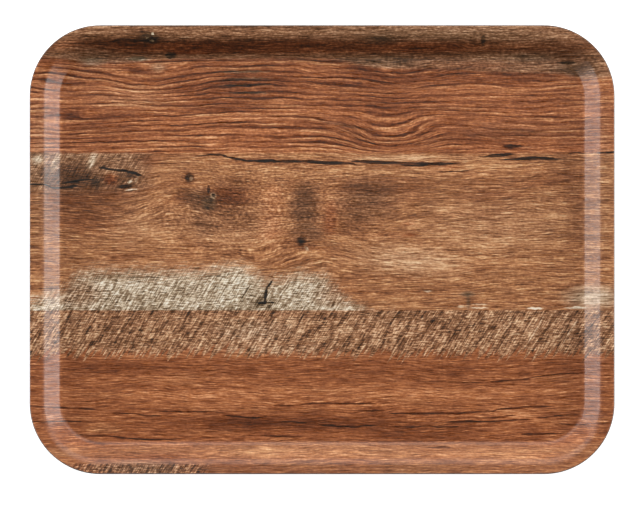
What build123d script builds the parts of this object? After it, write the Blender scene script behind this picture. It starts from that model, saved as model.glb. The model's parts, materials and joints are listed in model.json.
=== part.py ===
from build123d import *
from math import cos, radians, sin, tan
import os

# A shallow rectangular serving tray, hot-pressed in one mould from a stack of resin-soaked papers.
# From the top down the stack is a clear melamine overlay, a printed decor sheet, eight kraft core
# sheets and a backing sheet. Every sheet is a separate closed solid, and its two faces are parallel
# to the tray's top face, so the sheets touch face to face all over, as they do in the press.
#
# Millimetres, +Z up, +X along the long side. The origin is the middle of the flat underside.

# Outline, seen from above
LENGTH = 430.0
WIDTH = 330.0
CORNER_RADIUS = 52.0

# Rim section, measured on the top face
HEIGHT = 16.0
RIM_WIDTH = 24.0  # from the outer edge in to where the flat floor begins
WALL_ANGLE = 45.0  # the flared wall, above the horizontal
LIP_ANGLE = 7.0  # the lip rises gently outwards
COVE_RADIUS = 5.1  # floor to wall
ROLL_RADIUS = 9.5  # wall to lip
TOP_BEVEL = 0.8  # milled edge
BOTTOM_BEVEL = 0.5

# The pressed stack: sheet name and thickness, from the top face down
OVERLAY = 0.10
PRINTED_SHEET = 0.20
CORE_SHEET = 0.25
CORE_SHEETS = 8
SHEETS = [
    ("clear_overlay", OVERLAY),
    ("decor_sheet", PRINTED_SHEET),
    *[(f"core_sheet_{number}", CORE_SHEET) for number in range(1, CORE_SHEETS + 1)],
    ("backing_sheet", PRINTED_SHEET),
]

# Worked out from the driving dimensions. A section point is (r, z), with r measured outwards
# from the centre of the corner arcs, so one section serves the sides and the corners.
STACK = sum(thickness for _, thickness in SHEETS)
FLOOR_RADIUS = CORNER_RADIUS - RIM_WIDTH
X_REACH = LENGTH / 2 - CORNER_RADIUS
Y_REACH = WIDTH / 2 - CORNER_RADIUS
WALL = radians(WALL_ANGLE)
LIP = radians(LIP_ANGLE)
CREST = CORNER_RADIUS - TOP_BEVEL  # r of the rim's highest line

# The straight stretch of the wall takes up what height the cove, roll and lip leave.
CURVED_RUN = COVE_RADIUS * sin(WALL) + ROLL_RADIUS * (sin(WALL) - sin(LIP))
CURVED_RISE = COVE_RADIUS * (1 - cos(WALL)) + ROLL_RADIUS * (cos(LIP) - cos(WALL))
RISE_LEFT = HEIGHT - STACK - CURVED_RISE - (CREST - FLOOR_RADIUS - CURVED_RUN) * tan(LIP)
WALL_LENGTH = RISE_LEFT / (sin(WALL) - cos(WALL) * tan(LIP))

COVE_CENTRE = Vector(FLOOR_RADIUS, STACK + COVE_RADIUS)
WALL_TOP = COVE_CENTRE + Vector(
    COVE_RADIUS * sin(WALL) + WALL_LENGTH * cos(WALL),
    -COVE_RADIUS * cos(WALL) + WALL_LENGTH * sin(WALL),
)
ROLL_CENTRE = WALL_TOP + Vector(ROLL_RADIUS * sin(WALL), -ROLL_RADIUS * cos(WALL))

# Working margins, outside the finished section
LIP_OVERRUN = 3.0
CUTTER_REACH = 3.0
CUTTER_DEPTH = 10.0
CUTTER_TOP = 30.0


def lip_height(r, depth):
    """Height of the surface that lies depth under the lip's top face, at radius r."""
    start = ROLL_CENTRE + Vector(-sin(LIP), cos(LIP)) * (ROLL_RADIUS - depth)
    return start.Y + (r - start.X) * tan(LIP)


def surface_line(depth):
    """The section line of the surface that lies depth under the top face, from floor to past the rim."""
    cove_radius = COVE_RADIUS + depth
    roll_radius = ROLL_RADIUS - depth
    cove_end = COVE_CENTRE + Vector(sin(WALL), -cos(WALL)) * cove_radius
    roll_start = ROLL_CENTRE + Vector(-sin(WALL), cos(WALL)) * roll_radius
    roll_end = ROLL_CENTRE + Vector(-sin(LIP), cos(LIP)) * roll_radius
    overrun = CORNER_RADIUS + LIP_OVERRUN
    return [
        CenterArc(COVE_CENTRE, cove_radius, 270, WALL_ANGLE),
        Line(cove_end, roll_start),
        CenterArc(ROLL_CENTRE, roll_radius, 90 + WALL_ANGLE, LIP_ANGLE - WALL_ANGLE),
        Line(roll_end, (overrun, lip_height(overrun, depth))),
    ]


def milled_envelope():
    """Everything inside the milled edge: a straight cut with a bevel above and below."""
    top = lip_height(CREST, 0)
    bottom_r = CORNER_RADIUS - BOTTOM_BEVEL
    bottom = lip_height(bottom_r, STACK)
    outline = Polyline(
        (FLOOR_RADIUS, -CUTTER_DEPTH),
        (bottom_r - CUTTER_REACH, bottom - CUTTER_REACH),
        (CORNER_RADIUS, bottom + BOTTOM_BEVEL),
        (CORNER_RADIUS, top - TOP_BEVEL),
        (CREST - CUTTER_REACH, top + CUTTER_REACH),
        (FLOOR_RADIUS, CUTTER_TOP),
        close=True,
    )
    return make_face(outline)


def rim_section(top_depth, bottom_depth):
    """The rim's section face of one sheet, on the XZ plane."""
    upper = surface_line(top_depth)
    lower = surface_line(bottom_depth)
    floor_end = Line(upper[0] @ 0, lower[0] @ 0)
    outer_end = Line(upper[-1] @ 1, lower[-1] @ 1)
    band = make_face(upper + lower + [floor_end, outer_end])
    return Plane.XZ * (band & milled_envelope())


def rim(section):
    """The four straight sides and four corners that share one section."""
    pieces = []
    for quarter in range(4):
        reach, half_run = (X_REACH, Y_REACH) if quarter % 2 == 0 else (Y_REACH, X_REACH)
        placed = Pos(reach, half_run, 0) * section
        side = extrude(placed, 2 * half_run)
        corner = revolve(placed, Axis((reach, half_run, 0), (0, 0, 1)), 90)
        pieces += [Rot(0, 0, 90 * quarter) * side, Rot(0, 0, 90 * quarter) * corner]
    return pieces


def floor_panel(top_depth, bottom_depth):
    """The flat middle of one sheet."""
    outline = RectangleRounded(
        2 * (X_REACH + FLOOR_RADIUS), 2 * (Y_REACH + FLOOR_RADIUS), FLOOR_RADIUS
    )
    return Pos(0, 0, STACK - bottom_depth) * extrude(outline, bottom_depth - top_depth)


def sheet(top_depth, bottom_depth):
    """One whole sheet of the stack, as a single solid."""
    middle = floor_panel(top_depth, bottom_depth)
    return middle.fuse(*rim(rim_section(top_depth, bottom_depth))).clean()


def main():
    os.makedirs("parts", exist_ok=True)
    depth = 0.0
    for name, thickness in SHEETS:
        solid = sheet(depth, depth + thickness)
        depth += thickness
        export_step(solid, f"parts/{name}.step")
        print(name, "solids", len(solid.solids()), "volume mm3", round(solid.volume))
    print("wall length", round(WALL_LENGTH, 2), "rim top", round(lip_height(CREST, 0), 3))


main()
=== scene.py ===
import json
from math import cos, pi, radians, sin, tan

import bmesh
import bpy
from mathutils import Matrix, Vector

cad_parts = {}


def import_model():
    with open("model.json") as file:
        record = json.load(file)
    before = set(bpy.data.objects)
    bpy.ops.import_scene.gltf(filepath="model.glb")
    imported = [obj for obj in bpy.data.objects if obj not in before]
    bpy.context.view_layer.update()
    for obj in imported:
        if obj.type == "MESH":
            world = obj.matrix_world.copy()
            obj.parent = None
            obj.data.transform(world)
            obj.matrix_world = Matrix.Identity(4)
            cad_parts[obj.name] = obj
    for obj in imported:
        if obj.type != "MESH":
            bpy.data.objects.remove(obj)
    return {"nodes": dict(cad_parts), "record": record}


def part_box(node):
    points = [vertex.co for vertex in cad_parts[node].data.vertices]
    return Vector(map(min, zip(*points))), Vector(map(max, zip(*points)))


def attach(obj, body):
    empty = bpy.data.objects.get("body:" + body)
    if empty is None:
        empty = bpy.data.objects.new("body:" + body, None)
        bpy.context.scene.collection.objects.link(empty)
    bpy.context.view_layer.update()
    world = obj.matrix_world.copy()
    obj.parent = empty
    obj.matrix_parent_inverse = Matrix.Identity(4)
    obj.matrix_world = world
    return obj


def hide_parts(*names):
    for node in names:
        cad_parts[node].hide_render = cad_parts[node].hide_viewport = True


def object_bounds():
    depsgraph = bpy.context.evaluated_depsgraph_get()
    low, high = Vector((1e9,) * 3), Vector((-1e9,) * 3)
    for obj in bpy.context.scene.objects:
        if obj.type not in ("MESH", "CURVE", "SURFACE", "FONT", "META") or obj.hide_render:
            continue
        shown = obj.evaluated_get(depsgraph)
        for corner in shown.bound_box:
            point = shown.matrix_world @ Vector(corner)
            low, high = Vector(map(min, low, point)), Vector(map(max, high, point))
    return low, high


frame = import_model()
cad_low, cad_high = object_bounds()

# ------------------------------------------------------------------------------------------
# Shape. Metres throughout. A section point is (r, z), with r measured outwards from the
# rectangle that joins the centres of the four corner arcs.
# ------------------------------------------------------------------------------------------
MM = 0.001
CORNER_RADIUS = 52.0 * MM
RIM_WIDTH = 24.0 * MM
WALL = radians(45.0)
LIP = radians(7.0)
COVE_RADIUS = 5.1 * MM
ROLL_RADIUS = 9.5 * MM
TOP_BEVEL = 0.8 * MM
BOTTOM_BEVEL = 0.5 * MM
SHEET_GROOVE = 0.015 * MM  # the cut edge is set back this much between layers, so they show

mounts = {mount["name"]: mount for mount in frame["record"]["mounts"]}
STACK = mounts["serving_surface"]["pos_m"][2]
FLOOR_RADIUS = CORNER_RADIUS - RIM_WIDTH
X_REACH = cad_high.x - CORNER_RADIUS
Y_REACH = cad_high.y - CORNER_RADIUS
CREST = CORNER_RADIUS - TOP_BEVEL

CORNER_STEPS = 24
CURVE_STEPS = 9
X_STEPS = 20
Y_STEPS = 14
WELD_DISTANCE = 0.001 * MM
SHARP_EDGE = radians(18)

curved_run = COVE_RADIUS * sin(WALL) + ROLL_RADIUS * (sin(WALL) - sin(LIP))
curved_rise = COVE_RADIUS * (1 - cos(WALL)) + ROLL_RADIUS * (cos(LIP) - cos(WALL))
rise_left = cad_high.z - STACK - curved_rise - (CREST - FLOOR_RADIUS - curved_run) * tan(LIP)
wall_length = rise_left / (sin(WALL) - cos(WALL) * tan(LIP))

COVE_CENTRE = Vector((FLOOR_RADIUS, STACK + COVE_RADIUS))
ROLL_CENTRE = COVE_CENTRE + Vector((cos(WALL), sin(WALL))) * wall_length
ROLL_CENTRE += Vector((sin(WALL), -cos(WALL))) * (COVE_RADIUS + ROLL_RADIUS)


def lip_height(r, depth):
    """Height of the surface that lies depth under the lip's top face, at radius r."""
    start = ROLL_CENTRE + Vector((-sin(LIP), cos(LIP))) * (ROLL_RADIUS - depth)
    return start.y + (r - start.x) * tan(LIP)


EDGE_TOP = lip_height(CREST, 0)
EDGE_BOTTOM = lip_height(CORNER_RADIUS - BOTTOM_BEVEL, STACK)


def lip_end(depth):
    """Where that surface meets the milled edge: a bevel, a straight cut and a smaller bevel."""
    on_top_bevel = CREST + (EDGE_TOP - lip_height(CREST, depth)) / (1 + tan(LIP))
    low = CORNER_RADIUS - BOTTOM_BEVEL
    on_bottom_bevel = low + (lip_height(low, depth) - EDGE_BOTTOM) / (1 - tan(LIP))
    r = min(CORNER_RADIUS, on_top_bevel, on_bottom_bevel)
    return Vector((r, lip_height(r, depth)))


def arc(centre, radius, start, end):
    """Points along an arc, both ends included, with angles in radians."""
    turns = [start + (end - start) * i / CURVE_STEPS for i in range(CURVE_STEPS + 1)]
    return [centre + Vector((cos(a), sin(a))) * radius for a in turns]


def surface_line(depth):
    """The section of the surface that lies depth under the top face, from floor to edge."""
    cove = arc(COVE_CENTRE, COVE_RADIUS + depth, -pi / 2, WALL - pi / 2)
    roll = arc(ROLL_CENTRE, ROLL_RADIUS - depth, WALL + pi / 2, LIP + pi / 2)
    middle = (cove[-1] + roll[0]) / 2
    return cove + [middle] + roll + [lip_end(depth)]


def cut_line(top_depth, bottom_depth):
    """The milled edge between two surfaces, with a bevel's corner where one falls between."""
    corners = [EDGE_TOP - TOP_BEVEL, EDGE_BOTTOM + BOTTOM_BEVEL]
    depths = [(lip_height(CORNER_RADIUS, 0) - z) * cos(LIP) for z in corners]
    marks = [d for d in depths if top_depth < d < bottom_depth]
    groove = min(SHEET_GROOVE * 2, (bottom_depth - top_depth) / 4)
    if top_depth > 0:
        marks.insert(0, top_depth + groove)
    marks.append(bottom_depth - groove)
    return [lip_end(d) for d in sorted(marks)]


def sheet_section(top_depth, bottom_depth):
    """The closed section of one sheet, from the middle of its top face round to its underside."""
    top = surface_line(top_depth)
    bottom = surface_line(bottom_depth)
    if top_depth > 0:
        top[-1].x -= SHEET_GROOVE
    bottom[-1].x -= SHEET_GROOVE
    start = Vector((0, top[0].y))
    end = Vector((0, bottom[0].y))
    return [start] + top + cut_line(top_depth, bottom_depth) + bottom[::-1] + [end]


def outline(r):
    """Points of the rounded rectangle that lies r outside the corner-centre rectangle."""
    points = []
    signs = [(1, 1), (-1, 1), (-1, -1), (1, -1)]
    for quarter, (sx, sy) in enumerate(signs):
        centre = Vector((sx * X_REACH, sy * Y_REACH))
        for step in range(CORNER_STEPS + 1):
            turn = pi / 2 * (quarter + step / CORNER_STEPS)
            points.append(centre + Vector((cos(turn), sin(turn))) * r)
        next_sx, next_sy = signs[(quarter + 1) % 4]
        far = Vector((next_sx * X_REACH, next_sy * Y_REACH))
        turn = pi / 2 * (quarter + 1)
        across = Vector((cos(turn), sin(turn))) * r
        count = X_STEPS if sx != next_sx else Y_STEPS
        for step in range(1, count):
            points.append(centre.lerp(far, step / count) + across)
    return points


def add_grid(mesh, z):
    """The flat middle of the floor, inside the corner-centre rectangle."""
    rows = [
        [
            mesh.verts.new(
                (X_REACH * (2 * i / X_STEPS - 1), Y_REACH * (2 * j / Y_STEPS - 1), z)
            )
            for i in range(X_STEPS + 1)
        ]
        for j in range(Y_STEPS + 1)
    ]
    for low, high in zip(rows, rows[1:]):
        for i in range(X_STEPS):
            mesh.faces.new((low[i], low[i + 1], high[i + 1], high[i]))


def sheet_piece(name, top_depth, bottom_depth):
    """One pressed sheet as a closed mesh, from its depths under the tray's top face."""
    mesh = bmesh.new()
    section = sheet_section(top_depth, bottom_depth)
    rings = [[mesh.verts.new((p.x, p.y, s.y)) for p in outline(s.x)] for s in section]
    for inner, outer in zip(rings, rings[1:]):
        for i in range(len(inner)):
            j = (i + 1) % len(inner)
            mesh.faces.new((inner[i], inner[j], outer[j], outer[i]))
    add_grid(mesh, section[0].y)
    add_grid(mesh, section[-1].y)
    bmesh.ops.remove_doubles(mesh, verts=mesh.verts, dist=WELD_DISTANCE)
    bmesh.ops.recalc_face_normals(mesh, faces=mesh.faces)
    for face in mesh.faces:
        face.smooth = True
    for edge in mesh.edges:
        edge.smooth = edge.calc_face_angle(0) < SHARP_EDGE
    data = bpy.data.meshes.new(name)
    mesh.to_mesh(data)
    mesh.free()
    piece = bpy.data.objects.new(name, data)
    bpy.context.scene.collection.objects.link(piece)
    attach(piece, "root")
    return piece


# ------------------------------------------------------------------------------------------
# Materials
# ------------------------------------------------------------------------------------------
RESIN_IOR = 1.55
EMBOSS_DEPTH = 0.05 * MM

tree = None  # the node tree that the functions below add to


def new_material(name):
    """A new material and its shader."""
    material = bpy.data.materials.new(name)
    material.use_nodes = True
    return material, material.node_tree.nodes["Principled BSDF"]


# ------------------------------------------------------------------------------------------
# The wood print. Every Field below is a number worked out at each point of the print by
# shader nodes. Lengths are in millimetres from the middle of the tray, +x right, +y back.
# ------------------------------------------------------------------------------------------
SEED_STEP_X = 397  # each seed looks at the noise this much further off
SEED_STEP_Y = 613


class Field:
    """A shader node's output, with the arithmetic the print needs."""

    def __init__(self, socket):
        self.socket = socket

    def __add__(self, other):
        return calculate("ADD", self, other)

    def __sub__(self, other):
        return calculate("SUBTRACT", self, other)

    def __mul__(self, other):
        return calculate("MULTIPLY", self, other)


def new_node(kind):
    return tree.nodes.new(kind)


def feed(target, value):
    """Links a Field to an input, or sets a plain number on it."""
    if isinstance(value, Field):
        tree.links.new(value.socket, target)
    else:
        target.default_value = value


def calculate(operation, *values):
    """One step of arithmetic on Fields and numbers."""
    step = new_node("ShaderNodeMath")
    step.operation = operation
    for socket, value in zip(step.inputs, values):
        feed(socket, value)
    return Field(step.outputs[0])


def add_scaled(field, weight, amount):
    """field + weight * amount."""
    return calculate("MULTIPLY_ADD", weight, amount, field)


def ease(field, start, end, low=0.0, high=1.0):
    """Goes smoothly from low at start to high at end, and stays level outside."""
    step = new_node("ShaderNodeMapRange")
    step.interpolation_type = "SMOOTHSTEP"
    step.clamp = False
    for socket, value in zip(step.inputs, (field, start, end, low, high)):
        feed(socket, value)
    return Field(step.outputs[0])


def vector(x, y):
    """A point of the print from its two coordinates."""
    step = new_node("ShaderNodeCombineXYZ")
    feed(step.inputs[0], x)
    feed(step.inputs[1], y)
    return Field(step.outputs[0])


def placed(where, x, y, length, width, turn):
    """The point as seen from (x, y), turned by turn degrees and measured in length and width."""
    step = new_node("ShaderNodeMapping")
    step.vector_type = "TEXTURE"
    feed(step.inputs["Vector"], where)
    step.inputs["Location"].default_value = (x, y, 0)
    step.inputs["Rotation"].default_value = (0, 0, radians(turn))
    step.inputs["Scale"].default_value = (length, width, 1)
    return Field(step.outputs[0])


def streaks(where, length, width, seed, detail=1.0, turn=0.0):
    """Noise drawn out along the grain, between about -0.4 and 0.4."""
    source = placed(where, SEED_STEP_X * seed, SEED_STEP_Y * seed, length, width, turn)
    step = new_node("ShaderNodeTexNoise")
    step.noise_dimensions = "2D"
    step.inputs["Scale"].default_value = 1.0
    step.inputs["Detail"].default_value = detail
    step.inputs["Roughness"].default_value = 0.5
    feed(step.inputs["Vector"], source)
    return Field(step.outputs["Fac"]) - 0.5


def spot(where, x, y, length, width, turn, core):
    """1 in the core of an ellipse, falling smoothly to 0 at its rim."""
    source = placed(where, x, y, length, width, turn)
    step = new_node("ShaderNodeTexGradient")
    step.gradient_type = "SPHERICAL"
    feed(step.inputs[0], source)
    return ease(Field(step.outputs["Fac"]), 0.0, 1.0 - core)


def curve(across, points):
    """A smooth line through (x, value) points, as a function of x."""
    values = [value for _, value in points]
    low, high = min(values), max(values)
    step = new_node("ShaderNodeFloatCurve")
    feed(step.inputs["Value"], across)
    line = step.mapping.curves[0].points
    while len(line) < len(points):
        line.new(0.5, 0.5)
    span = 2 * HALF_LENGTH
    for knot, (x, value) in zip(line, points):
        knot.location = ((x + HALF_LENGTH) / span, (value - low) / (high - low))
        knot.handle_type = "AUTO_CLAMPED"
    step.mapping.update()
    return calculate("MULTIPLY_ADD", Field(step.outputs[0]), high - low, low)


def cracks(across, y, points):
    """1 inside the cracks along one line of (x, y, half width) points; below 0 there is none."""
    middle = curve(across, [(x, height) for x, height, _ in points])
    half_width = curve(across, [(x, half) for x, _, half in points])
    off = calculate("ABSOLUTE", y - middle) - half_width
    return ease(off, -0.3, 0.35, 1.0, 0.0)


def ramp(shade, colours):
    """Colours at even steps of shade, from SHADE_LOW to SHADE_HIGH."""
    step = new_node("ShaderNodeValToRGB")
    feed(step.inputs[0], shade)
    stops = step.color_ramp.elements
    while len(stops) < len(colours):
        stops.new(0.5)
    for i, colour in enumerate(colours):
        stops[i].position = i / (len(colours) - 1)
    for i, colour in enumerate(colours):
        stops[i].color = (*colour, 1)
    return Field(step.outputs[0])


def blend(weight, first, second):
    """The first colour where weight is 0, and the second where it is 1."""
    step = new_node("ShaderNodeMix")
    step.data_type = "RGBA"
    feed(step.inputs["Factor"], weight)
    feed(step.inputs[6], first)
    feed(step.inputs[7], second)
    return Field(step.outputs[2])


def emboss_surface(shader, height):
    """The fine relief that the press plate leaves."""
    bump = new_node("ShaderNodeBump")
    bump.inputs["Strength"].default_value = 1.0
    bump.inputs["Distance"].default_value = EMBOSS_DEPTH
    feed(bump.inputs["Height"], height)
    tree.links.new(bump.outputs[0], shader.inputs["Normal"])


# Shade is the natural logarithm of brightness, 0 for the usual tone of each wood.
SHADE_LOW = -3.0
SHADE_HIGH = 1.5
RED_WOOD = [
    (0.012, 0.007, 0.005),
    (0.035, 0.011, 0.003),
    (0.082, 0.018, 0.003),
    (0.168, 0.041, 0.0085),
    (0.318, 0.095, 0.031),
    (0.580, 0.208, 0.075),
    (0.980, 0.480, 0.230),
]
TAN_WOOD = [
    (0.012, 0.008, 0.005),
    (0.040, 0.015, 0.005),
    (0.100, 0.031, 0.008),
    (0.201, 0.068, 0.0225),
    (0.393, 0.155, 0.060),
    (0.680, 0.315, 0.132),
    (0.960, 0.640, 0.340),
]
GREY_WOOD = [
    (0.013, 0.010, 0.008),
    (0.050, 0.030, 0.014),
    (0.120, 0.070, 0.031),
    (0.240, 0.153, 0.080),
    (0.480, 0.348, 0.220),
    (0.900, 0.760, 0.560),
    (1.000, 0.950, 0.830),
]

HALF_LENGTH = 215.0

# Edges between planks, each from where it starts to where it ends, going to the next plank.
TO_UPPER_PLANK = (70.2, 72.5)
OUT_OF_UPPER_PLANK = (*TO_UPPER_PLANK, 1.0, 0.0)
TO_SAWN_STRIP = (-44.2, -45.4)
TO_WEATHERED_STRIP = (-45.4, -44.2)
TO_LOWER_PLANK = (-74.0, -79.0)

# Bends of the grain: x, y, half length, half width, turn, how far the grain dips there.
BENDS = [
    (-122, 122, 48, 24, 0, 4.0),
    (-55, 128, 60, 26, 0, -4.0),
    (62, 126, 52, 18, 0, 4.0),
    (50, 82, 50, 26, 0, 10.0),
    (-108, 40, 46, 44, 0, -8.0),
    (-45, -10, 38, 16, 0, 5.0),
    (-6, 2, 60, 26, 0, -6.0),
    (-98, 53, 12, 8, 0, 3.0),
    (-156, 52, 16, 10, 0, -3.0),
    (110, 149, 16, 8, 0, 3.0),
]

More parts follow.
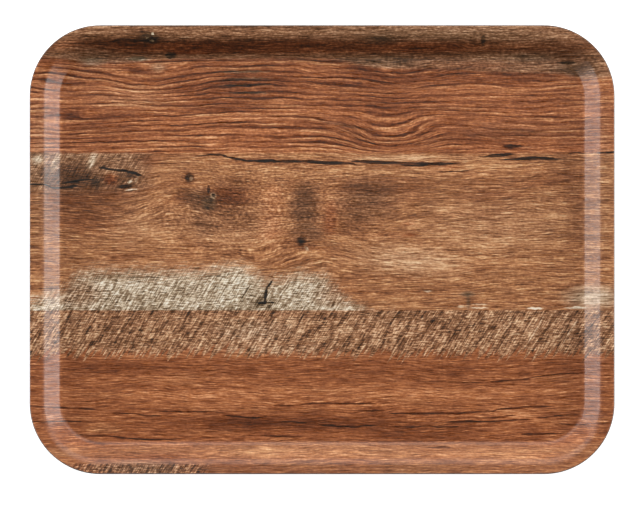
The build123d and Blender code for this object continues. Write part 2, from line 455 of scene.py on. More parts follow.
# Soft patches: x, y, half length, half width, turn, shade, gold, pale.
PATCHES = [
    # back rim
    (-20, 149, 330, 8, 0, -0.1, -0.6, -0.3),
    (-132, 156, 24, 9, 0, -1.0, 0, 0),
    (-155, 153, 50, 6, 0, -0.6, -0.2, -0.1),
    (165, 154, 60, 7, 0, 0.4, 0, 0),
    (65, 152, 36, 9, 0, 0.25, 0, 0),
    (-80, 148, 46, 5, 0, -0.35, -0.2, 0),
    (43, 154, 20, 6, 0, -0.9, 0, 0.2),
    (-95, 146, 22, 3, 0, 0.2, -0.7, -0.2),
    (-170, 139, 15, 5, 0, -0.3, 0, 0.5),
    (-136, 141, 12, 2.6, 0, -0.5, 0, 0.9),
    (-20, 142, 60, 3, 0, -0.35, 0, 0),
    (48, 139, 38, 7, 0, -0.4, 0, 0.2),
    (110, 136, 60, 5, 0, -0.2, -0.2, -0.1),
    (153, 142, 30, 5, 0, -0.4, 0, 0.2),
    (188, 134, 22, 7, 0, -0.8, 0, 0.25),
    (-121, 134.5, 9, 5, 0, 0.35, 0.8, 0.2),
    (130, 150, 70, 10, 0, 0.3, 0, 0),
    (-188, 150, 20, 12, 0, 0.5, 0, 0),
    (0, 142.5, 330, 5, 0, 0.12, 0, 0.06),
    # upper plank
    (-60, 121, 70, 18, 0, -0.75, -0.3, 0),
    (90, 128, 130, 12, 0, -0.6, -0.15, 0),
    (32, 133, 26, 6, -12, -0.6, 0, 0),
    (-141, 110, 24, 6, 0, 0.4, 0.1, 0),
    (-160, 91, 38, 5, 0, -0.7, -0.2, 0),
    (-130, 77, 40, 7, 0, 0.5, 0.2, 0),
    (-60, 99.5, 76, 1.8, 0, 0.4, 0.6, 0),
    (-36, 92.4, 18, 1.4, 0, 0.4, 0.7, 0),
    (-70, 103, 56, 6, 0, -0.6, -0.3, 0),
    (46, 107, 60, 10, 0, -0.6, -0.15, 0),
    (-10, 92, 260, 5, 0, -0.25, -0.1, 0),
    (-185, 91, 24, 6, 0, -0.35, 0, 0),
    (-122, 83, 32, 5, 0, 0.4, 0.1, 0),
    (-65, 83, 16, 6, 0, -0.45, -0.2, 0),
    (-66, 127, 14, 6, 0, -0.4, -0.1, 0),
    (-96, 117, 22, 6, 0, -0.4, 0, 0),
    (-103, 135, 14, 5, 0, 0.5, 0.1, 0),
    (185, 78, 22, 8, 0, -0.35, 0, 0),
    (165, 99, 40, 9, 0, -0.35, 0, 0),
    (18, 91.5, 34, 1.8, -10, -0.6, 0, 0.15),
    (118, 84, 66, 10, 2, -0.85, -0.1, 0),
    # left end of the split
    (-209, 66, 7, 5.5, 20, 0.6, 0, 0.5),
    (-197, 63.5, 12, 4, 69, 0.6, 0, 0.45),
    (-170, 65.5, 11, 4.6, 65, 0.8, 0, 0.5),
    (-167, 49, 4.5, 7, 0, -0.9, 0, 0.2),
    (-156, 52, 9, 7, 0, 0.2, -1.0, -0.3),
    (-142, 55.5, 11, 4.5, -10, -1.0, 0, 0),
    (-128, 66, 18, 6, 0, -0.4, -0.7, 0),
    # tan plank
    (-186, 55, 36, 14, 0, -1.0, -0.2, 0),
    (-176, 34, 60, 30, 0, -0.8, -0.35, 0),
    (-103, 40, 14, 8, 0, -0.8, -0.2, 0),
    (-66, 48, 34, 7, 0, -0.45, 0, 0),
    (42, 47, 76, 9, 0, -0.6, -0.25, 0),
    (88, 38, 44, 8, 0, -0.35, -0.15, 0),
    (-165, -8, 64, 9, 0, -0.35, 0, 0),
    (-66, 1, 34, 7, 0, -0.35, 0, 0),
    (124, 2, 44, 8, 0, 0.4, 0.1, 0),
    (184, 55, 22, 24, 0, -0.4, 0, 0),
    (-66, 24, 34, 14, 0, -0.4, 0, 0),
    (15, 20, 26, 12, 0, -0.3, 0, 0),
    (-60, 56, 60, 11, 0, 0.2, 0.2, 0),
    (-18, 69, 26, 3, 0, 0.5, 0.3, 0),
    (70, 69, 22, 3, 0, 0.4, 0.2, 0),
    (60, 67.5, 62, 4, 0, 0.5, 0.2, 0.1),
    (-70, 20, 62, 26, 0, 0, 0.2, 0.07),
    (-140, 20, 40, 26, 0, 0.08, 0.1, 0.06),
    (130, 20, 90, 34, 0, 0.05, 0.15, 0.07),
    (-98, 53, 8, 8, 0, -0.6, 0, 0),
    (-90, 37, 20, 11, -8, -0.8, 0, 0.2),
    (-88, 18, 14, 18, 0, -0.5, 0, 0.05),
    (-68, 38, 28, 14, 0, -0.5, -0.4, 0),
    (-38, 26, 15, 32, -5, 0.2, -0.4, 0),
    (-118, 10, 22, 14, 0, 0.35, 0.1, 0),
    (-12, 32, 17, 27, 0, -0.42, 0, 0.12),
    (-8, 10, 26, 12, 0, -0.4, -0.1, 0),
    (6, 22, 8, 22, -3, -0.05, -0.6, 0),
    (34, 38, 34, 24, 8, -0.75, -0.1, 0.15),
    (7, 26, 7, 20, 0, 0.03, 0.1, 0.03),
    (-140, 112, 50, 12, 0, 0, 0.25, 0.05),
    (135, 88, 60, 10, 0, -0.15, 0.1, 0.05),
    (-170, 147, 30, 8, 0, 0, 0, 0.15),
    (26, 19, 16, 10, 0, -0.4, 0, 0),
    (-15.5, 6, 4.8, 5, -20, -2.4, 0, 0),
    (-27, 6, 14, 4, 12, -0.5, -0.3, 0),
    (64, 19, 9, 1.5, 0, -0.1, -0.9, 0),
    (66, 11, 9, 1.7, 0, -0.1, -0.9, 0),
    (64, -8, 60, 18, -4, 0.6, 0.25, 0.15),
    (-25, -10, 24, 6, 12, -0.5, -0.2, 0),
    (128, 39, 44, 9, 0, -0.6, -0.35, 0),
    (165, 51, 38, 8, 0, -0.35, -0.3, 0),
    (190, 20, 18, 30, 0, -0.35, -0.1, 0),
    (94, 60.8, 11, 2.2, 0, 0.35, -0.7, 0),
    # weathered strip
    (-180, -33, 26, 16, 0, -0.4, 0, -0.5),
    (-125, -36, 70, 14, 0, -0.3, 0, 0),
    (-112, -18, 46, 5, 0, 0.35, 0, 0.1),
    (-48, -38, 18, 9, 0, -0.4, 0, 0),
    (30, -42, 16, 6, 0, -0.5, 0, 0),
    (85, -27, 70, 6, 0, -0.2, 0, 0),
    (-66, -26, 15, 20, 10, 0.3, 0, 0.2),
    (-44, -38, 13, 9, 0, -0.6, 0, 0),
    (10, -34, 24, 14, 0, -0.2, 0, -0.45),
    (107.5, -32.8, 8, 3, 0, -1.0, 0, 0.5),
    (108, -39, 2.4, 8, 0, -0.8, 0, 0.4),
    (200, -35, 30, 13, 0, 0.2, 0, 0.7),
    (100, -28, 70, 6, 0, -0.25, 0, 0),
    # sawn strip
    (2, -50, 26, 6, 0, -0.6, -0.1, 0),
    (60, -52, 90, 9, 0, -0.4, 0, 0),
    (-143, -60, 18, 10, 20, -0.5, 0, 0),
    (-50, -60, 44, 12, 0, 0.4, 0, 0.2),
    (-40, -74, 70, 5, 0, 0.35, 0, 0.1),
    (90, -57, 20, 10, 0, -0.35, 0, 0),
    (190, -62, 24, 16, 0, -0.4, -0.2, 0),
    (-101, -62.8, 5, 3, 30, -1.0, -0.3, 0),
    # lower plank
    (-150, -88, 64, 6, 0, -0.5, -0.4, 0),
    (95, -89, 44, 6, 0, -0.4, -0.3, 0),
    (190, -88, 22, 10, 0, -0.3, -0.2, 0),
    (20, -97, 120, 5, 0, -0.1, -0.3, 0),
    (110, -106, 90, 5, 0, 0.3, 0.1, 0),
    (-110, -108, 80, 5, 0, 0.25, 0, 0),
    (-60, -115, 150, 4, 0, 0.35, 0, 0),
    (45, -114, 40, 4, 0, 0.45, 0.1, 0),
    (-15, -128, 130, 11, 0, -0.8, -0.25, 0),
    (-66, -128, 50, 9, 0, -0.45, 0, 0),
    (70, -137, 62, 7, 0, -0.7, -0.1, 0),
    (104, -131, 26, 6, 0, -0.5, 0, 0),
    (132, -122, 34, 6, 0, 0.45, 0, 0),
    (150, -124, 30, 6, 0, 0.4, 0.1, 0),
    (-70, -126, 11, 6, 0, 0, -0.9, 0),
    (-162, -132, 28, 6, 0, 0.2, 0.6, 0),
    (0, -107, 300, 10, 0, 0.26, 0, 0),
    (-103, -97, 100, 6, 0, 0.2, 0, 0),
    (110, -83, 60, 5, 0, 0.2, 0, 0),
    # front rim; its first two patches darken the whole front wall and lip, which is painted shade
    (0, -145, 330, 6, 0, -0.25, 0.1, 0),
    (0, -161, 360, 9, 0, -0.4, 0, 0),
    (-95, -152, 60, 6, 0, -0.4, -0.3, 0),
    (50, -152, 50, 6, 0, -0.25, 0, 0),
    (-45, -148, 40, 6, 0, 0.3, 0.3, 0),
    (140, -150, 60, 6, 0, 0.2, 0.1, 0),
    (-140, -152, 66, 6, 0, -0.35, -0.2, 0),
    (-133, -160.5, 70, 7, 0, -0.46, 0.5, 0.26),
    (90, -160, 150, 8, 0, -0.05, 0.3, 0),
    (0, -149, 330, 8, 0, -0.05, 0.35, 0.04),
    # lips of the sides
    (-208, 60, 9, 90, 0, 0, 0.35, 0.08),
    (-208, -100, 9, 60, 0, -0.1, 0, 0),
    (208, 60, 9, 90, 0, 0, 0.2, 0.05),
    (80, 159, 130, 8, 0, 0, 0.3, 0.12),
]

# Marks with a clearer edge, with the same columns.
FLECKS = [
    (-83.5, 34, 7, 6.5, 0, -0.5, 0, 0.3),
    (-76, 36, 28, 12, 0, -0.5, -0.2, 0),
    (-37.5, 26, 12, 30, -5, 0.25, -0.35, 0),
    (-13, 32, 13, 23, 0, -0.6, 0, 0.05),
    (7, 24, 6, 16, -4, 0.1, -0.4, 0),
    (30, 42, 20, 12, 0, -0.1, 0, 0),
    (-12, 12, 16, 9, 0, -0.35, 0, 0.1),
    (-112, 143.4, 6, 2.8, 0, -1.7, 0, 0.3),
    (118.5, 154, 2.2, 4.5, 0, -1.3, 0, 0.2),
    (-127, 155.5, 9, 5.5, 0, -0.7, 0, 0.3),
    (-124.6, 158.6, 1.5, 1.7, 0, 1.5, 0, 0.7),
    (-125.2, 153.6, 2.6, 1.1, 0, 1.5, 0, 0.7),
    (-128.5, 155.8, 1.6, 0.9, 30, 1.1, 0, 0.7),
    (72, 148.3, 17, 0.7, 0, -1.2, 0, 0),
    (181.5, 138, 8, 1.5, 0, -1.0, 0, 0.3),
    (-58, 131.5, 25, 1.2, 0, -0.6, 0, 0.45),
    (-56, 126.3, 24, 1.0, 1, -0.7, 0, 0.4),
    (-58, 121.6, 24, 1.0, 1, -0.6, 0, 0.4),
    (-54, 115.8, 20, 1.0, 0, -0.6, 0, 0.4),
    (28, 122.8, 3.2, 1.7, 0, -0.8, 0, 0),
    (33, 80, 13, 0.9, -18, -1.0, 0, 0),
    (76, 86.3, 13, 0.9, 14, -0.9, 0, 0),
    (66, 78, 23, 0.8, 7, -0.9, 0, 0),
    (163, 113.2, 27, 0.7, -1, -0.8, 0, 0),
    (166, 98.6, 12, 1.2, 0, -0.7, 0, 0),
    (173, 95.6, 20, 0.8, 0, 0.6, 0.3, 0),
    (140.5, 76.3, 9.5, 1.8, 3, -2.2, 0, 0),
    (-145, 46.6, 8, 1.8, 5, -2.0, 0, 0),
    (-141, 44.4, 6.5, 0.8, 4, 1.2, 0, 0.6),
    (-142, 50, 3.0, 1.5, 20, 1.0, 0, 0.6),
    (-137, 52, 4.0, 1.0, 60, 0.7, 0.2, 0.3),
    (-98, 52.8, 4.4, 4.8, 0, -1.6, 0, 0.1),
    (-96.8, 52.4, 2.0, 2.4, 0, 1.6, 0, 0.4),
    (-84, 44.5, 1.5, 3.8, 0, -1.8, 0, 0),
    (-80.5, 39.8, 3.2, 3.2, 0, 0.9, 0, 0.5),
    (-80.3, 40.3, 1.7, 1.7, 0, -2.2, 0, 0),
    (-11.5, 1, 2.8, 1.6, -50, 0.5, 0, 0.5),
    (-41, -14.8, 13, 0.7, 5, -0.7, 0, 0),
    (-17, -10, 15, 0.6, 22, -0.6, 0, 0),
    (-38.7, -25.5, 4.6, 1.0, 53, -3, 0, 0),
    (-41.6, -33.0, 6.8, 1.5, 82, -3, 0, 0),
    (-44, -39.4, 4.2, 1.9, 20, -3, 0, 0),
    (-38.3, -39, 4.6, 0.5, -5, -2, 0, 0),
    (-37.5, -20.2, 3.5, 0.5, 0, -1.5, 0, 0),
    (-56.6, -31.5, 9, 0.6, 57, -1.8, 0, 0),
    (-51.5, -34, 5, 0.5, -20, -1.4, 0, 0),
    (103, -42, 4.8, 1.1, 0, 1.1, 0.6, 0.5),
    (78, -30.6, 4.2, 0.9, 0, 0.9, 0.5, 0.6),
    (116, -40.6, 8.5, 0.6, 0, 0.9, 0.6, 0.4),
    (116, -43, 8.5, 0.6, 0, 0.9, 0.6, 0.4),
    (157, -43.4, 8, 1.2, 0, 1.4, 0.6, 0.7),
    (188, -43, 11, 1.0, 0, 1.0, 0.6, 0.7),
    (157.5, -60, 17, 0.7, 59, 0.9, 0.3, 0.2),
    (183.5, -60, 17, 0.7, 59, 0.9, 0.3, 0.2),
]

# Cracks along the grain, each list one line across the tray: x, y, half width. The split
# between the two middle planks is deep and dark; the others are fine.
DEEP_CRACKS = [
    [
        (-97, 69.3, -0.3), (-94, 69.2, 0.1), (-79, 70.3, 0.6), (-71, 68.8, 0.7), (-60, 66.6, 0.8),
        (-51, 65.5, 0.7), (-42, 65.6, 1.2), (-30, 65.2, 0.8), (-14, 65.4, 0.9), (0, 64.2, 1.2),
        (12, 63.9, 1.1), (22, 63.5, 0.6), (28, 62.6, 0.1), (32, 62.3, -0.5), (80, 60, -0.5),
        (112, 68.3, -0.4), (116, 68.5, 0.1), (123, 69, 0.7), (129, 69.7, 1.2), (137, 70.4, 0.8),
        (143, 70.7, 0.1), (148, 70.8, -0.4), (178, 71.4, -0.4), (184, 71.3, 0.3), (192, 71.4, 0.3),
        (197, 71.4, -0.3), (203, 71.2, 0.3), (209, 71.4, 0.6), (215, 71.8, 0.5),
    ],
    [
        (-215, 48, 0.5), (-204, 47.8, 0.5), (-197, 45.6, 0.5), (-190, 46.1, 0.7), (-181, 47.2, 0.3),
        (-177, 50, -0.5), (-168, 60, -0.5), (-165, 60.5, 0.4), (-156, 59.3, 0.8), (-145, 58.1, 0.8),
        (-138, 56.5, 1.1), (-132, 55, -0.2), (-100, 60, -0.5), (17, 65.5, -0.5), (21, 65.4, 0.1),
        (28, 65.2, 0.7), (40, 64.6, 1.1), (52, 64.3, 0.9), (62, 64.2, 0.4), (72, 63.8, 0.6),
        (80, 63.5, 1.1), (90, 63.4, 0.9), (98, 63.9, 0.4), (104, 64.2, -0.1), (110, 64.5, -0.5),
        (127, 66.2, -0.4), (133, 66.5, 0.2), (145, 67.1, 0.7), (157, 67.6, 1.3), (166, 67.5, 1.1),
        (175, 67, 0.4), (182, 66.6, -0.1), (190, 66, -0.5),
    ],
    [
        (-194, 48.5, -0.3), (-190, 49.2, 0.5), (-183, 50.7, 0.7), (-176, 51.6, 0.6),
        (-169, 51.8, 0.4), (-164, 51, -0.5), (-100, 17, -0.5), (-93, 17.3, -0.12), (-80, 17, -0.1),
        (-68, 17.6, -0.1), (-62, 18, -0.5), (50, 62.8, -0.5), (56, 62.7, 0), (64, 62.3, 0.8),
        (72, 62.2, 0.9), (79, 62.6, 0), (82, 59, -0.6), (85, 57.5, 0.1), (92, 57.6, 0.4),
        (100, 57.9, 0.4), (112, 59, 0.1), (117, 60, -0.5),
    ],
]
FINE_CRACKS = [
    [
        (-215, -28.8, 0.25), (-196, -28.8, 0.25), (-190, -29, -0.4), (-180, -30.6, 0.1),
        (-158, -30.6, 0.15), (-152, -28, -0.5), (-143, -20.5, 0.1), (-122, -20.2, 0.25),
        (-104, -20.5, 0.1), (-98, -20, -0.4), (-88, -19.6, 0.25), (-73, -19.6, 0.25),
        (-68, -20, -0.5), (60, -97.2, -0.5), (70, -97.4, 0.1), (100, -97.8, 0.2), (119, -98, 0.2),
        (134, -96.9, 0.6), (148, -95.6, 0.3), (166, -93, 0.3), (191, -90.9, 0.2),
        (197, -90.5, -0.4),
    ],
    [
        (-215, -115, 0.25), (-192, -116.7, 0.45), (-181, -117.2, 0.5), (-168, -117.8, 0.2),
        (-164, -118, -0.5), (-160, -120.9, -0.5), (-156, -120.9, 0.1), (-148, -121.1, 0.5),
        (-138, -121.3, 0.35), (-128, -122.8, 0.5), (-118, -122.8, 0.1), (-113, -122.8, -0.5),
        (-80, -122.8, -0.5), (-74, -122.8, 0.1), (-62, -123.2, 0.5), (-50, -124.3, 0.5),
        (-40, -123.2, 0.1), (-36, -125, -0.5), (-32, -127, 0.1), (-18, -127.5, 0.5),
        (-5, -127.7, 0.1), (-1, -129.5, 0.2), (7, -130, 0.55), (21, -131, 0.5), (32, -130, 0.5),
        (46, -129.7, 0.1), (52, -130.6, 0.2), (67, -131.1, 0.4), (77, -130.2, 0.2),
        (86, -131.1, 0.5), (101, -130.9, 0.1), (107, -131, -0.5), (140, -136.3, -0.5),
        (147, -136.3, 0.2), (157, -136.3, 0.7), (168, -136, 0.6), (181, -135.4, 0.1),
        (187, -135, -0.5),
    ],
    [
        (-213, -126.4, 0.2), (-191, -126.7, 0.4), (-180, -126.9, 0.3), (-170, -127.7, 0),
        (-164, -128, -0.5), (-128, -119.4, -0.5), (-121, -119.4, 0.15), (-102, -119.7, 0.5),
        (-86, -119.7, 0.5), (-72, -120.5, 0.1), (-66, -121, -0.5), (-42, -114.8, -0.5),
        (-36, -114.8, 0.1), (-26, -115.2, 0.5), (-18, -115.3, 0.25), (-12, -113.6, 0.3),
        (4, -113.5, 0.7), (16, -113.7, 0.6), (29, -113.7, 0.5), (39, -113.4, 0.1), (44, -115, -0.5),
        (48, -121, -0.2), (54, -121, 0.4), (72, -121, 0.8), (87, -120.8, 0.8), (98, -121.3, 0.7),
        (106, -120.2, 0.6), (126, -119.3, 0.5), (130, -117.9, 0.5), (143, -117, 0.7),
        (157, -116, 0.6), (170, -115.9, 0.1), (176, -115.9, -0.5),
    ],
    [
        (-190, -137, -0.3), (-184, -137, 0.1), (-160, -137.5, 0.6), (-146, -139, 0.5),
        (-126, -140.2, 0.6), (-103, -139.8, 0.1), (-97, -139.8, -0.5), (-52, -137.7, -0.5),
        (-46, -137.7, 0.1), (-30, -137.9, 0.5), (-15, -138, 0.1), (-8, -138, -0.5),
        (20, -119.1, -0.5), (27, -119.1, 0.2), (38, -119, 0.5), (47, -118.9, 0.1), (53, -119, -0.5),
        (86, -127.4, -0.5), (92, -127.4, 0.2), (107, -126.8, 0.65), (121, -127, 0.6),
        (134, -126.6, 0.6), (145, -125.7, 0.5), (156, -125.5, 0), (162, -126, -0.5),
        (168, -129, -0.4), (174, -129, 0.2), (189, -129.4, 0.4), (196, -128.3, 0.4),
        (215, -126.4, 0.35),
    ],
    [
        (72, -145.8, -0.3), (79, -145.8, 0.15), (87, -145.8, 0.3), (96, -145.8, 0),
        (102, -146, -0.5), (112, -124.2, -0.5), (119, -124.2, 0.1), (134, -123.6, 0.5),
        (142, -122.5, 0.2), (150, -123.5, -0.2), (160, -124, 0.4), (173, -122.7, 0.45),
        (191, -121.5, 0.1), (197, -121, -0.5),
    ],
]


def grain_height(flat, y):
    """How far back a point lies, counted across the wavy grain."""
    flow = add_scaled(streaks(flat, 95, 30, 1) * 7.5, streaks(flat, 16, 5, 2, 2), 1.8)
    for bx, by, length, width, turn, dip in BENDS:
        flow = add_scaled(flow, spot(flat, bx, by, length, width, turn, 0.0), dip)
    return y + flow


def saw_strokes(flat, x, y):
    """Slanted strokes and weathered fibres, and the wave of the saw's teeth."""
    strokes = streaks(flat, 7, 0.6, 10, 1, 58) * 3.0
    strokes = add_scaled(strokes, streaks(flat, 20, 2.2, 11, 1, 57), 1.6)
    strokes = add_scaled(strokes, streaks(flat, 4, 0.55, 12, 1, 2), 3.6)
    strokes = add_scaled(strokes, streaks(flat, 9, 0.55, 24, 1), 3.3)
    strokes = add_scaled(strokes, streaks(flat, 9, 1.3, 28, 1, 60), 2.2)
    strokes = add_scaled(strokes, streaks(flat, 3, 1.2, 31, 1), 1.6)
    sideways = calculate("MULTIPLY_ADD", x, 0.07, calculate("MULTIPLY", y, -0.044))
    sideways = add_scaled(sideways, streaks(flat, 60, 16, 25, 1, 58), 1.3)
    return strokes, calculate("SINE", sideways * (2 * pi))


def add_marks(shade, gold, pale, where):
    """Adds every patch and fleck to the three numbers that make the colour."""
    for marks, core in ((PATCHES, 0.1), (FLECKS, 0.45)):
        for sx, sy, length, width, turn, darker, golden, paler in marks:
            weight = spot(where, sx, sy, length, width, turn, core)
            if darker:
                shade = add_scaled(shade, weight, darker)
            if golden:
                gold = add_scaled(gold, weight, golden)
            if paler:
                pale = add_scaled(pale, weight, paler)
    return shade, gold, pale


def add_cracks(shade, across, flat, y):
    """Darkens the shade inside every crack."""
    crack_y = add_scaled(y, streaks(flat, 7, 1.5, 13, 1), 1.0)
    for lines_of_points, darker in ((DEEP_CRACKS, -2.6), (FINE_CRACKS, -1.7)):
        for points in lines_of_points:
            shade = add_scaled(shade, cracks(across, crack_y, points), darker)
    return shade


def wood_colour(shade, gold, pale):
    """The colour of a shade of wood, from red to gold to weathered grey."""
    span = SHADE_HIGH - SHADE_LOW
    position = calculate("MULTIPLY_ADD", shade, 1 / span, -SHADE_LOW / span)
    wood = blend(gold, ramp(position, RED_WOOD), ramp(position, TAN_WOOD))
    return blend(pale, wood, ramp(position, GREY_WOOD))


def satin_melamine(shader, flat):
    """The clear overlay's finish, over an embossed grain."""
    emboss = add_scaled(streaks(flat, 7, 0.5, 14, 1), streaks(flat, 14, 1.3, 26, 1), 1.6)
    feed(shader.inputs["Roughness"], ease(emboss, -0.5, 0.5, 0.25, 0.42))
    shader.inputs["IOR"].default_value = RESIN_IOR
    emboss_surface(shader, emboss)


def wood_print(name):
    """The printed planks under a satin overlay."""
    global tree
    material, shader = new_material(name)
    tree = material.node_tree

    source = new_node("ShaderNodeTexCoord")
    split = new_node("ShaderNodeSeparateXYZ")
    tree.links.new(source.outputs["Object"], split.inputs[0])
    x = Field(split.outputs[0]) * (1 / MM)
    y = Field(split.outputs[1]) * (1 / MM)
    across = calculate("MULTIPLY_ADD", x, 1 / (2 * HALF_LENGTH), 0.5)
    flat = vector(x, y)

    grain_y = grain_height(flat, y)
    grain = vector(x, grain_y)
    ragged_y = add_scaled(y, streaks(flat, 5, 2, 3, 2), 2.0)
    ragged = vector(x, ragged_y)

    # where each plank lies
    rim_edge = curve(across, [
        (-215, 143), (-180, 139), (-150, 138), (-125, 141), (-90, 141), (0, 141.5), (16, 139),
        (50, 134), (90, 133), (130, 131), (175, 130), (200, 126), (215, 127),
    ])
    rim = ease(ragged_y - rim_edge, -1.5, 2.0)
    saw_low = add_scaled(y, streaks(flat, 60, 2.2, 4, 1, 57), 22.0)
    sawn = ease(y, *TO_SAWN_STRIP) * ease(saw_low, -79.0, -75.0)
    lower = ease(saw_low, *TO_LOWER_PLANK)
    grey_edge = curve(across, [
        (-215, -36), (-190, -24), (-165, -13), (-120, -14), (-85, -13), (-66, -10), (-50, -14),
        (-38, -20), (-10, -15), (8, -22), (22, -34), (40, -45), (80, -50), (215, -50),
    ])
    hatch = streaks(flat, 9, 1.0, 5, 2, 58)
    grey_y = add_scaled(y, hatch, 12.0)
    grey_y = add_scaled(grey_y, streaks(flat, 12, 0.8, 23, 1), 16.0)
    weathered = ease(grey_y - grey_edge, 5.0, -12.0, 0.0, 0.94) * ease(y, *TO_WEATHERED_STRIP)
    split_zone = ease(x, -118, -142) * ease(ragged_y, 70.5, 72.0, 1.0, 0.0) * ease(ragged_y, 38, 50)

    # wood tone of each plank
    gold = ease(ragged_y, *OUT_OF_UPPER_PLANK)
    gold = add_scaled(gold, rim, 0.75)
    gold = add_scaled(gold, lower, -1.0)
    bottom_rim = ease(ragged_y, -141, -144)
    gold = add_scaled(gold, bottom_rim, 0.35)
    gold = add_scaled(gold, streaks(grain, 60, 8, 6, 1), 0.9) - 0.08
    pale = add_scaled(weathered, rim, 0.22)
    pale = add_scaled(pale, sawn, 0.18)
    pale = add_scaled(pale, split_zone, 0.25)

    # painted shade: the back wall, which faces away from the key light, is darkened in the print
    back_wall_painted_shade = ease(calculate("ABSOLUTE", y - 148.0), 6.5, 12.0, -0.5, 0.0)
    shade = calculate("MULTIPLY_ADD", rim, -0.45, back_wall_painted_shade)
    shade = add_scaled(shade, sawn, -0.25)
    shade = add_scaled(shade, split_zone, -0.45)
    shade = add_scaled(shade, bottom_rim, 0.2)
    shade = add_scaled(shade, ease(calculate("ABSOLUTE", y + 86.5), 4.0, 8.0, -0.15, 0.0), lower)

    # grain: broad bands, growth lines and fine pores
    lip_marks = ease(x, -194, -180) * ease(x, -76, -92) * ease(ragged_y, -156.5, -158.5)
    slanted = add_scaled(weathered + sawn, split_zone, 0.7)
    slanted = add_scaled(slanted, lip_marks, 0.9)
    plain = calculate("SUBTRACT", 1.0, slanted)
    is_upper = ease(ragged_y, *TO_UPPER_PLANK)
    is_upper = add_scaled(is_upper, rim, -0.8)
    banding = calculate("MULTIPLY_ADD", is_upper, 0.1, 1.3)
    banding = add_scaled(banding, lower, -0.6)
    shade = add_scaled(shade, streaks(grain, 90, 7, 7, 1), banding)
    turns = add_scaled(grain_y * 0.255, streaks(flat, 150, 18, 20, 1), 2.1)
    turns = add_scaled(turns, streaks(flat, 30, 6, 21, 1), 0.45)
    wave = calculate("SINE", turns * (2 * pi))
    depth = ease(streaks(grain, 60, 4, 22, 1), -0.2, 0.2, 0.35, 1.6)
    lines = ease(wave, 0.0, 1.0) * depth
    calm = ease(x, 30, 130, -0.95, -0.45)
    shade = add_scaled(shade, lines * is_upper, calm)
    shade = add_scaled(shade, is_upper, 0.17)
    after = calculate("SINE", calculate("MULTIPLY_ADD", turns, 2 * pi, 2.2))
    glints = ease(after, 0.3, 1.0) * depth * is_upper
    shade = add_scaled(shade, glints, 0.25)
    gold = add_scaled(gold, glints, 0.35)
    plain = add_scaled(plain, is_upper, -0.3)
    plain = add_scaled(plain, lower, -0.1)
    plain = add_scaled(plain, bottom_rim, -0.15)
    middle = spot(flat, -40, 30, 130, 48, 0, 0.2)
    plain = add_scaled(plain, middle, -0.25)
    rings = streaks(grain, 26, 1.15, 8, 1)
    shade = add_scaled(shade, rings * plain, 2.2)
    pores = streaks(grain, 10, 0.45, 9, 2)
    shade = add_scaled(shade, pores * plain, 4.0)
    fibres = streaks(grain, 2.4, 1.2, 27, 1)
    fibre_depth = calculate("MULTIPLY_ADD", middle, 1.5, 1.3)
    fibre_depth = add_scaled(fibre_depth, rim, 0.8)
    fibre_depth = add_scaled(fibre_depth, lower, -0.4)
    shade = add_scaled(shade, fibres, fibre_depth)

    strokes, saw_wave = saw_strokes(flat, x, y)
    shade = add_scaled(shade, ease(saw_wave, 0.75, 1.0) * sawn, -0.75)
    strokes = add_scaled(strokes, ease(saw_wave, -0.6, -1.0), 0.2)
    shade = add_scaled(shade, strokes, slanted)

    notches = ease(streaks(flat, 9, 2.2, 29, 1, 66), 0.02, 0.12)
    shade = add_scaled(shade, notches * lip_marks, -0.9)

    shade, gold, pale = add_marks(shade, gold, pale, ragged)
    shade = add_cracks(shade, across, flat, y)
    feed(shader.inputs["Base Color"], wood_colour(shade, gold, pale))
    satin_melamine(shader, flat)
    return material


# Resin-soaked papers, each from its darkest to its lightest tone
KRAFT = [(0.022, 0.012, 0.008), (0.042, 0.024, 0.015), (0.080, 0.048, 0.030)]
BACKING = [(0.046, 0.023, 0.014), (0.085, 0.045, 0.026), (0.140, 0.078, 0.045)]


def pressed_paper(name, tones, roughness):
    """Mottled brown paper under a fine pebbled press finish."""
    global tree
    material, shader = new_material(name)
    tree = material.node_tree
    source = new_node("ShaderNodeTexCoord")
    mottle = grit(source, 60, 4)
    pebbles = grit(source, 900, 1)
    shade = calculate("MULTIPLY_ADD", pebbles, 0.5, mottle * 0.8) - 0.15
    feed(shader.inputs["Base Color"], ramp(shade, tones))
    shader.inputs["Roughness"].default_value = roughness
    shader.inputs["IOR"].default_value = RESIN_IOR
    emboss_surface(shader, pebbles)
    return material


def grit(source, scale, detail):
    """Even noise, with scale in steps per metre."""
    step = new_node("ShaderNodeTexNoise")
    step.inputs["Scale"].default_value = scale
    step.inputs["Detail"].default_value = detail
    tree.links.new(source.outputs["Object"], step.inputs["Vector"])
    return Field(step.outputs["Fac"])


# ------------------------------------------------------------------------------------------
# Build
# ------------------------------------------------------------------------------------------

by_height = sorted(frame["nodes"], key=lambda node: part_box(node)[0].z, reverse=True)
depth_below = {node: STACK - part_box(node)[0].z for node in by_height}

print_material = wood_print("wood_print")
kraft_material = pressed_paper("kraft", KRAFT, 0.6)
backing_material = pressed_paper("backing", BACKING, 0.4)

top_depth = depth_below["decor_sheet"]
face = sheet_piece("printed_face", 0.0, top_depth)
face.data.materials.append(print_material)
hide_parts("clear_overlay", "decor_sheet")

for node in by_height[2:]:  # all below the overlay and the decor sheet
    piece = sheet_piece(node.replace("sheet", "ply"), top_depth, depth_below[node])
    top_depth = depth_below[node]
    is_core = node.startswith("core")
    piece.data.materials.append(kraft_material if is_core else backing_material)
    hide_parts(node)

# ------------------------------------------------------------------------------------------
# Floor, light and camera
# ------------------------------------------------------------------------------------------
STUDIO_RADIUS = 8.0
STUDIO_SIDES = 96
FLOOR_GAP = 0.1 * MM  # keeps the floor's face clear of the tray's underside
PALE = (0.8, 0.8, 0.8, 1)
GLOW = 0.9


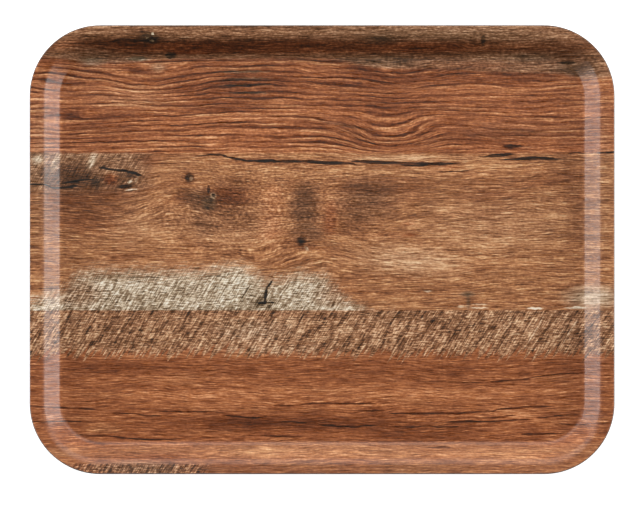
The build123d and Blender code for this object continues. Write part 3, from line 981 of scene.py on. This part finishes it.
def studio_surface(name, mesh):
    """Part of the pale surroundings, which aren't part of the object."""
    data = bpy.data.meshes.new(name)
    mesh.to_mesh(data)
    mesh.free()
    piece = bpy.data.objects.new(name, data)
    bpy.context.scene.collection.objects.link(piece)
    material, shader = new_material("pale_" + name)
    shader.inputs["Base Color"].default_value = PALE
    shader.inputs["Roughness"].default_value = 0.9
    shader.inputs["Emission Color"].default_value = (1, 1, 1, 1)
    shader.inputs["Emission Strength"].default_value = GLOW
    shader.inputs["Specular IOR Level"].default_value = 0.0
    piece.data.materials.append(material)
    return piece


def floor():
    mesh = bmesh.new()
    bmesh.ops.create_circle(mesh, cap_ends=True, segments=STUDIO_SIDES, radius=STUDIO_RADIUS)
    studio_surface("floor", mesh).location.z = -FLOOR_GAP


def backdrop():
    """A round wall behind the side views. Only the camera sees it, so it adds no light."""
    mesh = bmesh.new()
    bmesh.ops.create_cone(
        mesh,
        segments=STUDIO_SIDES,
        radius1=STUDIO_RADIUS,
        radius2=STUDIO_RADIUS,
        depth=STUDIO_RADIUS,
    )
    wall = studio_surface("backdrop", mesh)
    wall.visible_diffuse = False
    wall.visible_glossy = False
    wall.visible_shadow = False


def softbox(name, azimuth, elevation, distance, width, height, radiance):
    """A rectangular soft light that faces the tray. Azimuth 0 is +X, 90 is +Y."""
    light = bpy.data.lights.new(name, "AREA")
    light.shape = "RECTANGLE"
    light.size = width
    light.size_y = height
    light.energy = radiance * width * height * pi
    lamp = bpy.data.objects.new(name, light)
    a, e = radians(azimuth), radians(elevation)
    away = Vector((cos(a) * cos(e), sin(a) * cos(e), sin(e)))
    lamp.location = away * distance
    lamp.rotation_mode = "QUATERNION"
    lamp.rotation_quaternion = away.to_track_quat("Z", "Y")
    bpy.context.scene.collection.objects.link(lamp)


def world(radiance):
    """An even, dim light from all round."""
    dome = bpy.data.worlds.new("studio")
    dome.use_nodes = True
    background = dome.node_tree.nodes["Background"]
    background.inputs["Color"].default_value = (1, 1, 1, 1)
    background.inputs["Strength"].default_value = radiance
    bpy.context.scene.world = dome


floor()
backdrop()
softbox("key", azimuth=90, elevation=42, distance=2.6, width=7.5, height=3.0, radiance=1.87)
for name, azimuth, radiance in (("side_right", 0, 5.5), ("side_left", 180, 4.7)):
    softbox(name, azimuth, elevation=12, distance=2.0, width=1.9, height=0.85, radiance=radiance)
world(radiance=0.1)

SENSOR_WIDTH = 36.0
CAMERA_HEIGHT = 2.4
CAMERA_X = -1.55 * MM
CAMERA_Y = -5.05 * MM
VIEW_WIDTH = 470.2 * MM  # what the view spans at the height of the lip
camera_data = bpy.data.cameras.new("camera")
camera_data.sensor_width = SENSOR_WIDTH
camera_data.lens = SENSOR_WIDTH * (CAMERA_HEIGHT - cad_high.z) / VIEW_WIDTH
camera = bpy.data.objects.new("camera", camera_data)
camera.location = (CAMERA_X, CAMERA_Y, CAMERA_HEIGHT)
bpy.context.scene.collection.objects.link(camera)
bpy.context.scene.camera = camera
bpy.context.scene.view_settings.view_transform = "Standard"
